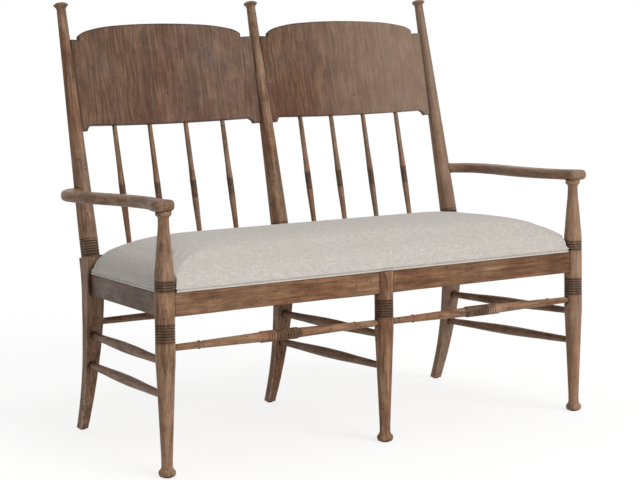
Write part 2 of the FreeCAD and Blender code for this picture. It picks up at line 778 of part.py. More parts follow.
for name, side in SIDES:
    stand = leg_frame(side)
    trims = [box("leg_floor_" + name, Frame(x=side * S.leg_spread, y=-S.front_y), -S.leg_d, -S.leg_d,
                 -S.leg_d, 2 * S.leg_d, 2 * S.leg_d, S.leg_d + S.glide_h)]
    if side:
        body = turning("leg_turning_" + name, foot + shaft, [low_rings, high_rings])
        trims.append(box("leg_arm_" + name, arm_frame(side), -S.leg_d, -S.leg_d, -S.arm_t / 2, 2 * S.leg_d,
                         2 * S.leg_d, 2 * S.arm_t))
    else:
        body = turning("leg_turning_" + name, foot + [(S.seat_z + half_leg, S.leg_d)], [low_rings])
        trims.append(box("leg_seat_" + name, seat, -S.leg_d, -S.leg_d, 0, 2 * S.leg_d, 2 * S.leg_d, S.leg_d))
    solid = cut("leg_trimmed_" + name, place(body, stand), trims)
    if side:
        low = S.arm_z - S.arm_t / 2 - S.overrun
        length = S.arm_tenon + S.overrun
        peg = rod("leg_tenon_" + name, stand, low, length, S.arm_tenon_d)
        solid = fuse("leg_with_tenon_" + name, [solid, peg])
        hole = rod("arm_leg_hole_" + name, stand, low, length + S.joint_gap,
                   S.arm_tenon_d + 2 * S.joint_gap)
        socket("arm_" + name, hole)
    blank("front_leg_" + name, solid)

for name, side in SIDES:
    # the round upper post
    upper = turning("post_turning_" + name,
                    [(-S.post_sink, S.post_seat_d), (S.post_step, S.post_seat_d), (S.post_step, S.post_d),
                     (S.post_taper_s, S.post_d),
                     (post_neck, S.post_neck_d, -2.0),
                     (S.post_length - S.finial_lip_drop, S.finial_lip_d, 0.3),
                     (S.post_length - S.finial_drop, S.finial_d, 1.2), (S.post_length, S.finial_top_d)],
                    [(S.post_ring_s, S.post_d, S.ring_pitch, S.leg_rings, S.ring_depth)])
    place(upper, post_frame(side))
    # the sabre leg: a side outline and a front outline, both sawn from one blank
    fall = tan(S.post_rake)
    lower_at = Frame(x=side * S.post_spread, y=S.back_y - S.front_y)
    waist = S.sabre_waist
    side_view = plate("sabre_side_" + name,
                      [(-S.sabre_front + S.sabre_front_sweep, S.glide_h),
                       (waist + S.sabre_back_sweep, S.glide_h, -S.sabre_back_bow),
                       (waist, S.sabre_waist_z, -S.sabre_top_bow),
                       (S.sabre_back_top, S.shoulder_z - fall * S.sabre_back_top),
                       (-S.sabre_front, S.shoulder_z + fall * S.sabre_front),
                       (-S.sabre_front, S.sabre_bend_z, S.sabre_front_bow)],
                      S.sabre_width, "YZ_Plane", True)
    place(side_view, lower_at)
    top = S.shoulder_z + S.sabre_width
    half = S.sabre_width / 2
    front_view = plate("sabre_front_" + name,
                       [(-S.sabre_foot_w / 2, 0), (S.sabre_foot_w / 2, 0),
                        (S.sabre_calf_w / 2, S.sabre_calf_z, 1.1),
                        (half, S.sabre_taper_z), (half, top), (-half, top), (-half, S.sabre_taper_z, 1.1),
                        (-S.sabre_calf_w / 2, S.sabre_calf_z)],
                       6 * S.sabre_width, "XZ_Plane", True)
    place(front_view, lower_at)
    lower = common("sabre_" + name, [side_view, front_view])
    blank("back_post_" + name, fuse("post_joined_" + name, [lower, upper]))

# stretchers


def stretcher(label, middle, points, groups=()):
    """A turned bar along the frame's Z axis with its middle at the frame's origin.  points run from the
    middle to the end as (distance, diameter) or (distance, diameter, bow)."""
    up = [tuple(point) for point in points]
    down = []
    for index in range(len(points) - 1, -1, -1):
        bow = points[index - 1][2:] if index else ()
        down.append((-measure(points[index][0]), points[index][1]) + tuple(bow))
    body = turning(label + "_turning", down + up, groups)
    return keep(place(body, middle), label)


def long_bar(label, middle, half, end_d, wide, hosts):
    """A plain stretcher that swells to its middle, and the sockets for its two ends."""
    stretcher(label, middle, [(end_d, wide, 0.4), (half * S.swell_share, (end_d + wide) / 2, 0.2),
                              (half, end_d)])
    for sign, host in hosts:
        add_socket(label, middle, half, end_d, sign, host)


def add_socket(label, middle, half, end_d, sign, host):
    length = half_leg + S.overrun
    low = half - length + S.joint_gap if sign > 0 else -half - S.joint_gap
    socket(host, rod("%s_socket_%s" % (label, host), middle, low, length, end_d + 2 * S.joint_gap))


def side_bar(label, side, front_z, back_z, back_in, front_host, back_host):
    """A stretcher from a front leg's axis to the post behind it."""
    start_x = S.leg_spread - tan(S.leg_splay) * front_z
    start_y = tan(S.leg_rake) * front_z
    inset = (start_x - S.post_spread) * abs(side)
    deep = S.back_y + back_in - start_y
    drop = front_z - back_z
    flat = root(inset * inset + deep * deep)
    length = root(flat * flat + drop * drop)
    yaw = atan(inset / deep) * side if side else measure(0)
    ends = Frame(x=side * start_x, y=start_y - S.front_y, z=front_z, yaw=yaw)
    ends = ends * Frame(roll=-90 - atan(drop / flat))
    half = (length - S.socket_stop) / 2
    middle = ends * Frame(z=S.socket_stop + half)
    long_bar(label, middle, half, S.stretcher_end_d, S.side_stretcher_d, ((-1, front_host), (1, back_host)))


for name, side in SIDES:
    hosts = ("front_leg_" + name, "back_post_" + name)
    side_bar("side_stretcher_upper_" + name, side, S.upper_front_z, S.upper_back_z, S.upper_back_in, *hosts)
    side_bar("side_stretcher_lower_" + name, side, S.lower_front_z, S.lower_back_z, S.lower_back_in, *hosts)

for name, side in BAYS:
    pair = ("left", "centre") if side < 0 else ("centre", "right")
    # front stretcher with its banded middle
    leg_x = S.leg_spread - tan(S.leg_splay) * S.front_stretcher_z
    half = leg_x / 2 - S.socket_stop
    middle = Frame(x=side * leg_x / 2, y=tan(S.leg_rake) * S.front_stretcher_z - S.front_y,
                   z=S.front_stretcher_z, pitch=90)
    band = S.band_length / 2
    bead_near = S.bead_out - S.bead_w / 2
    bead_far = S.bead_out + S.bead_w / 2
    neck_d = S.stretcher_end_d + S.bead_neck
    label = "front_stretcher_" + name
    first = -(S.band_rings - 1) / 2 * S.band_pitch
    stretcher(label, middle,
              [(band - S.band_edge, S.band_d, 0.4), (band, S.band_d - S.band_edge, -0.3),
               (band + 2 * S.band_edge, S.front_stretcher_d), (bead_near - S.bead_w, neck_d, -0.6),
               (bead_near, neck_d, (S.bead_d - neck_d) / 2), (bead_far, neck_d, -0.4),
               (bead_far + S.bead_w, neck_d - S.bead_neck / 2), (half, S.stretcher_end_d)],
              [(first, S.band_d, S.band_pitch, S.band_rings, S.ring_depth)])
    for sign, post in ((-1, pair[0]), (1, pair[1])):
        add_socket(label, middle, half, S.stretcher_end_d, sign, "front_leg_" + post)
    # back stretcher
    half = half_bay - S.socket_stop
    middle = Frame(x=side * half_bay, y=S.back_y + S.back_stretcher_in - S.front_y,
                   z=S.back_stretcher_z, pitch=90)
    long_bar("back_stretcher_" + name, middle, half, S.stretcher_end_d, S.back_stretcher_d,
             ((-1, "back_post_" + pair[0]), (1, "back_post_" + pair[1])))

# arms

# The arm's middle line in plan: the share of the way from the leg to the post, the share of the full bow
# that the line stands outside the straight way there, and the share of the arm's width.
ARM_LINE = ((0.0, 0.0, 0.97), (0.114, -0.04, 0.9), (0.227, 0.0, 0.93), (0.372, 0.165, 1.0),
            (0.514, 0.437, 1.02), (0.615, 0.67, 1.0), (0.723, 0.864, 1.0), (0.832, 1.0, 1.0),
            (0.8825, 0.984, 0.98), (0.93, 0.853, 0.94), (0.97, 0.618, 0.88), (1.0017, 0.294, 0.84))
END_SHARE = 0.25  # the front end's outward shift fades out over this share of the line


def arm_plank(side):
    """The arm as a bent plank with rounded edges, still too long where it meets the post."""
    bow = S.arm_bow.number
    reach = arm_reach.number
    turn_in = (arm_x - arm_post_x).number
    wide = S.arm_w.number
    end_wide = S.arm_end_w.number
    end_out = S.arm_end_out.number
    middle = [Vector(bow * out - turn_in * share + end_out * max(0, 1 - share / END_SHARE), reach * share, 0)
              for share, out, width in ARM_LINE]
    line = Part.BSplineCurve()
    line.interpolate(middle)
    left, right = [], []
    for point, (share, out, width_share) in zip(middle, ARM_LINE):
        along = line.tangent(line.parameter(point))[0]
        normal = Vector(along.y, -along.x, 0)
        half = (end_wide if share == 0 else wide * width_share) / 2
        right.append(point + normal * half)
        left.append(point - normal * half)
    front = -S.arm_overhang.number
    corner = S.arm_round.number
    ahead = Vector(end_out, front + corner, 0)
    right.insert(0, ahead + Vector(end_wide / 2, 0, 0))
    left.insert(0, ahead - Vector(end_wide / 2, 0, 0))
    edges = []
    for points in (right, left[::-1]):
        curve = Part.BSplineCurve()
        curve.interpolate(points)
        edges.append(curve.toShape())
    bend = corner * (1 - math.sqrt(0.5))
    tip_right = right[0] - Vector(corner, corner, 0)
    tip_left = left[0] + Vector(corner, -corner, 0)
    turn_right = Part.Arc(right[0], right[0] + Vector(-bend, bend - corner, 0), tip_right).toShape()
    turn_left = Part.Arc(tip_left, left[0] + Vector(bend, bend - corner, 0), left[0]).toShape()
    ends = [Part.makeLine(right[-1], left[-1]), turn_left, Part.makeLine(tip_left, tip_right), turn_right]
    wire = Part.Wire(Part.__sortEdges__(edges + ends))
    solid = Part.Face(wire).extrude(Vector(0, 0, S.arm_t.number))
    solid.translate(Vector(0, 0, -S.arm_t.number / 2))
    rim = [edge for edge in solid.Edges
           if abs(abs(edge.BoundBox.ZMin) - S.arm_t.number / 2) < 1e-6 and edge.BoundBox.ZLength < 1e-6
           and edge.BoundBox.YMin < middle[-1].y - 3 * corner]
    solid = solid.makeFillet(S.arm_round.number, rim)
    return solid if side > 0 else solid.mirror(Vector(), Vector(1, 0, 0))


for name, side in BAYS:
    plank = doc.addObject("Part::Feature", "arm_plank_" + name)
    plank.Shape = arm_plank(side)
    place(plank, arm_frame(side))
    hollow = post_cone("arm_hollow_" + name, side, S.touch_gap)
    trimmed = cut("arm_coped_" + name, plank, [hollow])
    aim = (arm_frame(side) * Frame(x=side * (arm_post_x - arm_x), y=arm_reach, yaw=side * S.arm_dowel_turn)
           * Frame(roll=90))
    low = post_r_at_arm - S.arm_dowel_in
    dowel = rod("arm_dowel_" + name, aim, low, S.arm_dowel_in + S.arm_dowel_out - post_r_at_arm,
                S.arm_dowel_d)
    blank("arm_" + name, fuse("arm_joined_" + name, [trimmed, dowel]))
    hole = rod("arm_dowel_hole_" + name, aim, low - S.joint_gap, S.arm_dowel_in + S.arm_dowel_out,
               S.arm_dowel_d + 2 * S.joint_gap)
    socket("back_post_" + name, hole)

# seat

seat_narrows = (leg_at_rail - S.post_spread) / post_at_seat
side_turn = cos(atan(seat_narrows))


def seat_corners(inset, round_by=0, end_inset=None):
    """The seat's plan, this far inside the outer faces of the rails, with rounded corners.  The two short
    sides can have an inset of their own."""
    inset, round_by = measure(inset), measure(round_by)
    end_inset = inset if end_inset is None else measure(end_inset)
    front = inset - S.rail_t / 2
    rear = S.seat_depth - inset
    across = leg_at_rail + (S.rail_t / 2 - end_inset) / side_turn
    points = []
    bow = round_by * (1 - math.sqrt(0.5))
    for sign, y in ((-1, front), (1, front), (1, rear), (-1, rear)):
        inner = y + round_by if y is front else y - round_by
        on_side = (sign * (across - seat_narrows * inner), inner)
        on_end = (sign * (across - seat_narrows * y - round_by), y)
        first, second = (on_side, on_end) if sign * (1 if y is front else -1) < 0 else (on_end, on_side)
        if round_by.number:
            points += [first + (bow,), second]
        else:
            points.append((sign * (across - seat_narrows * y), y))
    return points


def seat_notches(label, leg_gap, post_gap):
    """What the deck and the pad are cut away for: the two outer front legs and the three posts."""
    tools = []
    for name, side in SIDES:
        if side:
            tools.append(rod("%s_leg_%s" % (label, name), leg_frame(side), S.seat_z - S.rail_h, 4 * S.rail_h,
                             S.leg_d + 2 * leg_gap))
        width = S.sabre_width + 2 * post_gap
        tools.append(box("%s_post_%s" % (label, name),
                         seat * Frame(x=side * S.post_spread, y=post_face_at_seat - post_gap),
                         -width / 2, 0, -S.deck_t, width, 2 * S.sabre_width, 3 * S.rail_h))
    return tools


deck = plate("deck_board", seat_corners(S.deck_inset), S.deck_t)
place(deck, seat)
blank("seat_deck", cut("deck_notched", deck, seat_notches("deck", S.deck_gap, S.deck_gap)))

# the pad: a narrow foot that hides the deck, then a crowned body with drawn-in sides
half_deep = (S.seat_depth + S.rail_t / 2) / 2
outlines = [(S.pad_inset, S.pad_inset, S.touch_gap, S.pad_corner),
            (S.pad_inset, S.pad_inset, S.pad_low - S.pad_lip, S.pad_corner),
            (measure(0), measure(0), S.pad_low, S.pad_corner),
            (-S.pad_bulge, -S.pad_bulge, (S.pad_low + S.pad_side) / 2, S.pad_corner),
            (measure(0), measure(0), S.pad_side, S.pad_corner)]
count = int(S.pad_sections.number)
for step in range(1, count):
    share = S.pad_flat.number / half_deep.number * (step / (count - 1)) ** 2
    rise = (1 - (1 - share) ** 2) ** S.pad_fullness.number
    end_share = 1 - math.sqrt(1 - rise ** (1 / S.pad_end_fullness.number))
    outlines.append((half_deep * share, S.pad_end_roll * end_share,
                     S.pad_side + (S.pad_crown - S.pad_side) * rise,
                     S.pad_corner + (S.pad_crown_corner - S.pad_corner) * rise))
sections = []
for index, (inset, end_inset, height, corner) in enumerate(outlines):
    section = doc.addObject("Sketcher::SketchObject", "pad_section_%d" % index)
    outline(section, seat_corners(inset, corner, end_inset))
    sections.append(place(section, seat * Frame(z=height)))
dome = doc.addObject("Part::Loft", "pad_dome")
dome.Sections = sections
dome.Solid = True
dome.Ruled = True
pocket = plate("pad_pocket", seat_corners(S.deck_inset - S.touch_gap), 2 * S.deck_t + S.touch_gap)
place(pocket, seat * Frame(z=-S.deck_t))
keep(cut("pad_cut", dome, [pocket] + seat_notches("pad", S.pad_gap, S.pad_gap)), "seat_pad")

# the welt lies on the rails, under the pad's overhang
welt_z = S.welt_d / 2 + S.touch_gap
welt_half = leg_at_rail - half_leg - S.deck_gap
runs = [rod("welt_front", seat * Frame(y=S.welt_inset - S.rail_t / 2, z=welt_z, pitch=90),
            -welt_half, 2 * welt_half, S.welt_d)]
for name, side in BAYS:
    run = seat * Frame(x=side * leg_at_rail, yaw=atan(seat_narrows) * side)
    low = half_leg + S.deck_gap
    runs.append(rod("welt_side_" + name,
                    run * Frame(x=side * (S.rail_t / 2 - S.welt_inset), z=welt_z, roll=-90),
                    low, post_face_at_seat - low - S.deck_gap, S.welt_d))
    low = S.sabre_width / 2 + S.deck_gap
    runs.append(rod("welt_back_" + name, seat * Frame(y=S.seat_depth - S.welt_inset, z=welt_z, pitch=90),
                    low if side > 0 else -(S.post_spread - low), S.post_spread - 2 * low, S.welt_d))
welt = doc.addObject("Part::Compound", "welt_runs")
welt.Links = runs
keep(welt, "seat_welt")

# corner blocks and the screws that hold the deck down
blocks, screws = [], []
for name, side in BAYS:
    for end, host in ((1, name), (0, "centre")):
        edge = side * (leg_at_rail if end else 0)
        for row_name, y in (("front", S.rail_t / 2), ("back", post_at_seat)):
            inward = -side if end else side
            forward = 1 if row_name == "front" else -1
            narrow = seat_narrows * y if end else measure(0)
            corner_x = edge - side * narrow + inward * S.rail_t / 2 / side_turn
            lean = (side * seat_narrows * S.block_leg * forward if end else 0)
            tag = "%s_%s_%s" % (name, host, row_name)
            leg = S.block_leg if row_name == "front" else S.block_leg + S.rail_t
            corner = (corner_x, y)
            along_rail = (corner_x + inward * leg, y)
            along_side = (corner_x - lean * leg / S.block_leg, y + forward * leg)
            points = [corner, along_rail, along_side]
            if (inward > 0) != (forward > 0):
                points = [corner, along_side, along_rail]
            wedge = plate("block_" + tag, points, S.block_h)
            place(wedge, seat * Frame(z=-S.block_h))
            if row_name == "front":
                fits = [rod("block_fit_" + tag, leg_frame(side * end), S.seat_z - 2 * S.rail_h, 3 * S.rail_h,
                            S.leg_d + 2 * S.touch_gap)]
            else:
                width = S.sabre_width + 2 * S.touch_gap
                at_post = seat * Frame(x=side * end * S.post_spread, y=post_face_at_seat)
                fits = [box("block_fit_" + tag, at_post, -width / 2, -S.touch_gap, -2 * S.block_h,
                            width, 2 * S.sabre_width, 3 * S.block_h)]
                near = post_at_seat - S.back_rail_t / 2 - S.touch_gap
                far = post_at_seat + 2 * S.back_rail_t
                strip = plate("block_rail_" + tag, [(-half_bay, near, -S.back_bow), (half_bay, near),
                                                    (half_bay, far), (-half_bay, far)], 2 * S.rail_h)
                fits.append(place(strip, seat * Frame(x=side * half_bay, z=-S.rail_h * 1.5)))
            off = leg * S.screw_share
            at = seat * Frame(x=corner_x + inward * off, y=y + forward * off, z=-S.block_h)
            head = cone("screw_head_" + tag, at, 0, S.screw_head_h, S.screw_head_d, S.screw_d)
            shank = rod("screw_shank_" + tag, at, S.screw_head_h / 2,
                        S.block_h + S.screw_bite - S.screw_head_h / 2, S.screw_d)
            screws.append(fuse("screw_" + tag, [head, shank]))
            grow = 2 * S.joint_gap
            head_hole = cone("screw_sink_" + tag, at, 0, S.screw_head_h, S.screw_head_d + grow,
                             S.screw_d + grow)
            shank_hole = rod("screw_hole_" + tag, at, -S.clearance,
                             S.block_h + S.screw_bite + S.clearance + S.joint_gap, S.screw_d + grow)
            bore = fuse("screw_bore_" + tag, [head_hole, shank_hole])
            blocks.append(cut("block_cut_" + tag, wedge, fits + [bore]))
            socket("seat_deck", shank_hole)
for label, items in (("corner_blocks", blocks), ("deck_screws", screws)):
    group = doc.addObject("Part::Compound", label + "_group")
    group.Links = items
    keep(group, label)

# glides

rear_foot = S.sabre_front_sweep / 2 - S.sabre_front / 2 + S.sabre_waist / 2 + S.sabre_back_sweep / 2
for label, wide, hosts, x_of, y in (
        ("front_glides", S.glide_d, "front_leg_", S.leg_spread, -S.front_y),
        ("back_glides", S.back_glide_d, "back_post_", S.post_spread, S.back_y - S.front_y + rear_foot)):
    pieces = []
    for name, side in SIDES:
        at = Frame(x=side * x_of, y=y)
        tag = "%s_%s" % (label, name)
        disc = rod(tag + "_disc", at, 0, S.glide_h, wide)
        nail = rod(tag + "_nail", at, S.glide_h / 2, S.glide_nail, S.glide_nail_d)
        pieces.append(fuse(tag, [disc, nail]))
        socket(hosts + name, rod(tag + "_hole", at, S.glide_h / 2, S.glide_nail + S.joint_gap,
                                 S.glide_nail_d + 2 * S.joint_gap))
    group = doc.addObject("Part::Compound", label + "_group")
    group.Links = pieces
    keep(group, label)

# cut every hole, check and write

for label, item in blanks.items():
    keep(cut(label + "_bored", item, sockets[label]), label)
doc.recompute()

for item in doc.Objects:
    if "Invalid" in item.State or "Error" in item.State:
        raise RuntimeError("%s failed: %s" % (item.Label, item.State))
for item in sorted(nodes, key=lambda node: node.Label):
    shape = item.Shape
    if shape.isNull() or not shape.isValid() or not shape.Solids:
        raise RuntimeError("%s has no sound solid" % item.Label)
    shape.exportStep("parts/%s.step" % item.Label)
    print("%-28s %2d solids %11.1f mm3" % (item.Label, len(shape.Solids), shape.Volume))
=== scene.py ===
"""Looks of the two-bay deacon's bench: stained wood, woven cushion, pale floor, soft light and camera."""

import math

import bpy
import numpy as np
from mathutils import Matrix, Vector


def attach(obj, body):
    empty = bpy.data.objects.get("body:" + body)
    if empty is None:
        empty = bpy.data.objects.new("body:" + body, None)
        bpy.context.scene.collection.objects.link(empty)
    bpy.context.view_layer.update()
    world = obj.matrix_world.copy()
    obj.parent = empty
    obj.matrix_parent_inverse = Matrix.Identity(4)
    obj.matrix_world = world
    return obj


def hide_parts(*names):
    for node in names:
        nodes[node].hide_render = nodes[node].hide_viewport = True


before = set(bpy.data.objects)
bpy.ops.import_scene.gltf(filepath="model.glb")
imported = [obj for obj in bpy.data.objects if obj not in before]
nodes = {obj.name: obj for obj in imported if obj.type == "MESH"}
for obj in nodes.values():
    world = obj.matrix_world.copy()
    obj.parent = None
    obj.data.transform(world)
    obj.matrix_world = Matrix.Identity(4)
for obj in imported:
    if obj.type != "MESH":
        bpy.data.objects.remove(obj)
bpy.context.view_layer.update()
scene = bpy.context.scene

# bench sizes that the materials and the cushion follow, in metres and degrees
POST_RAKE = 13.56
SHOULDER_Z = 0.4355             # where the back posts begin to lean
SEAT_FRONT = (-0.2978, 0.4095)  # y and z of the front rail's top
SEAT_SLOPE = 1.75
SEAT_NARROWS = 0.108            # the seat's ends draw in by this share of the way back
LEG_X, LEG_Y, LEG_R = 0.5895, -0.3044, 0.0226
LEG_SPLAY, LEG_RAKE = 0.5, 0.93
POST_X, POST_Y, POST_R = 0.541, 0.1535, 0.0228

# groups of turned grooves: the middle and half the length of each, along the piece
LEG_BANDS = ((0.3220, 0.0215), (0.4263, 0.0125))
POST_BANDS = ((0.4582, 0.0195),)
SPINDLE_BANDS = ((0.5768, 0.0205),)
STRETCHER_BANDS = ((0.2705, 0.0345),)

# cushion
CUSHION_VOXEL = 0.005
CUSHION_START = 0.004           # the sim starts this far inside the pad's form
CUSHION_CAP = 0.008             # and ends this close to it
CUSHION_REST = (0.006, 0.016)   # held from the lower height over the rails, free above the upper one
END_LIFT = 0.006                # how much fuller the end shoulders are
END_INSET, END_WIDTH = 0.045, 0.028
END_EASE = 0.09                 # the shoulders fade out this near the front
SIM_FRAMES = 20
POST_GAP = 0.0008               # between the cushion and the legs and posts

# threads of the linen
CLOTH_SPLIT_Y = -0.08
SEAT_THREAD = 0.0011
WELT_THREAD = 0.0009

# stage
LENS = 104.49
CAMERA_PLACE = (-2.5014, -3.8362, 1.0582)
CAMERA_ANGLES = (-33.280, 7.557, -0.251)    # yaw, pitch and roll
FLOOR_HALF = 30.0
FLOOR_WHITE = 0.76              # share of plain white in the floor that the camera sees
WORLD_LIGHT = 0.36


def linear(red, green, blue):
    """A colour written in 0 to 255 screen values, as shader values."""
    def channel(value):
        share = value / 255
        return share / 12.92 if share <= 0.04045 else ((share + 0.055) / 1.055) ** 2.4
    return (channel(red), channel(green), channel(blue), 1.0)


# colours that lie over the stain and the linen, among them painted shade and painted sheen
RED_DRIFT = linear(150, 104, 74)
GREY_DRIFT = linear(128, 118, 108)
RAG_GLAZE = linear(62, 44, 33)
PORE_GLAZE = linear(58, 42, 32)
SPECK_GLAZE = linear(38, 28, 22)
RUBBED = linear(196, 164, 136)
# dark colour painted along edges as shade
EDGE_PAINTED_SHADE = linear(30, 21, 16)
CHIPPED = linear(214, 196, 174)
# pale colour painted towards the right end as sheen
PAINTED_SHEEN = linear(176, 149, 128)
RING_GLAZE = linear(48, 35, 26)
# dark colour of the glaze in hollows, also painted there as shade
HOLLOW_GLAZE_AND_SHADE = linear(30, 22, 17)
SLUB = linear(234, 228, 219)
CLOTH_DRIFT = linear(196, 182, 160)
# dark colour painted into the cloth's creases as shade
CLOTH_PAINTED_SHADE = linear(86, 76, 66)

# dark, middle and pale tones of each kind of wood, and of the rail stain darkened as painted shade
BROWN = (linear(90, 63, 44), linear(140, 106, 80), linear(176, 140, 110))
PANEL = (linear(66, 45, 33), linear(101, 74, 57), linear(136, 105, 83))
RAIL = (linear(82, 56, 39), linear(129, 96, 71), linear(166, 130, 101))
# the rail's tones darkened: painted shade for the side rails
SHADED = (linear(62, 43, 32), linear(92, 67, 51), linear(124, 95, 75))
GREY = (linear(80, 58, 43), linear(128, 98, 76), linear(162, 131, 107))
BARE = (linear(150, 118, 84), linear(188, 156, 116), linear(212, 184, 146))
PLY = (linear(176, 146, 106), linear(206, 178, 138), linear(224, 202, 168))


class Material:
    """A node material with a Principled shader and short calls for the nodes that feed it."""

    def __init__(self, name):
        self.material = bpy.data.materials.new(name)
        self.material.use_nodes = True
        self.tree = self.material.node_tree
        self.tree.nodes.clear()
        self.output = self.tree.nodes.new("ShaderNodeOutputMaterial")
        self.shader = self.tree.nodes.new("ShaderNodeBsdfPrincipled")
        self.tree.links.new(self.shader.outputs[0], self.output.inputs["Surface"])
        self.place = self.add("ShaderNodeTexCoord").outputs["Object"]

    def add(self, kind, inputs=None, **settings):
        node = self.tree.nodes.new(kind)
        for name, value in settings.items():
            setattr(node, name, value)
        for name, value in (inputs or {}).items():
            self.give(node.inputs[name], value)
        return node

    def give(self, socket, value):
        if isinstance(value, bpy.types.NodeSocket):
            self.tree.links.new(value, socket)
        else:
            socket.default_value = value

    def math(self, operation, first, second=0.0, third=0.0, clamp=False):
        node = self.add("ShaderNodeMath", operation=operation, use_clamp=clamp)
        for socket, value in zip(node.inputs, (first, second, third)):
            self.give(socket, value)
        return node.outputs[0]

    def vector(self, operation, first, second):
        node = self.add("ShaderNodeVectorMath", {0: first, 1: second}, operation=operation)
        return node.outputs[0]

    def mix(self, share, first, second, blend="MIX"):
        node = self.add("ShaderNodeMix", data_type="RGBA", blend_type=blend, clamp_factor=True)
        self.give(node.inputs[0], share)
        self.give(node.inputs[6], first)
        self.give(node.inputs[7], second)
        return node.outputs[2]

    def remap(self, value, low, high, start=0.0, end=1.0):
        node = self.add("ShaderNodeMapRange", {0: value, 1: low, 2: high, 3: start, 4: end},
                        interpolation_type="SMOOTHSTEP")
        return node.outputs[0]

    def noise(self, place, scale, detail, rough=0.5, wander=0.0):
        node = self.add("ShaderNodeTexNoise", {"Vector": place, "Scale": scale, "Detail": detail,
                                               "Roughness": rough, "Distortion": wander})
        return node.outputs[0]

    def cells(self, place, scale):
        return self.add("ShaderNodeTexVoronoi", {"Vector": place, "Scale": scale})

    def split(self, place):
        return self.add("ShaderNodeSeparateXYZ", {0: place}).outputs

    def join(self, x, y, z):
        return self.add("ShaderNodeCombineXYZ", {0: x, 1: y, 2: z}).outputs[0]

    def bump(self, height, distance, strength=1.0, normal=None):
        node = self.add("ShaderNodeBump", {"Height": height, "Distance": distance, "Strength": strength})
        if normal is not None:
            self.give(node.inputs["Normal"], normal)
        return node.outputs[0]


def along_post(material):
    """Object coordinates in which the raked posts, spindles and panels stand upright."""
    x, y, z = material.split(material.place)
    above = material.math("MAXIMUM", material.math("SUBTRACT", z, SHOULDER_Z), 0.0)
    forward = material.math("MULTIPLY", above, math.tan(math.radians(POST_RAKE)))
    return material.join(x, material.math("SUBTRACT", y, forward), z)


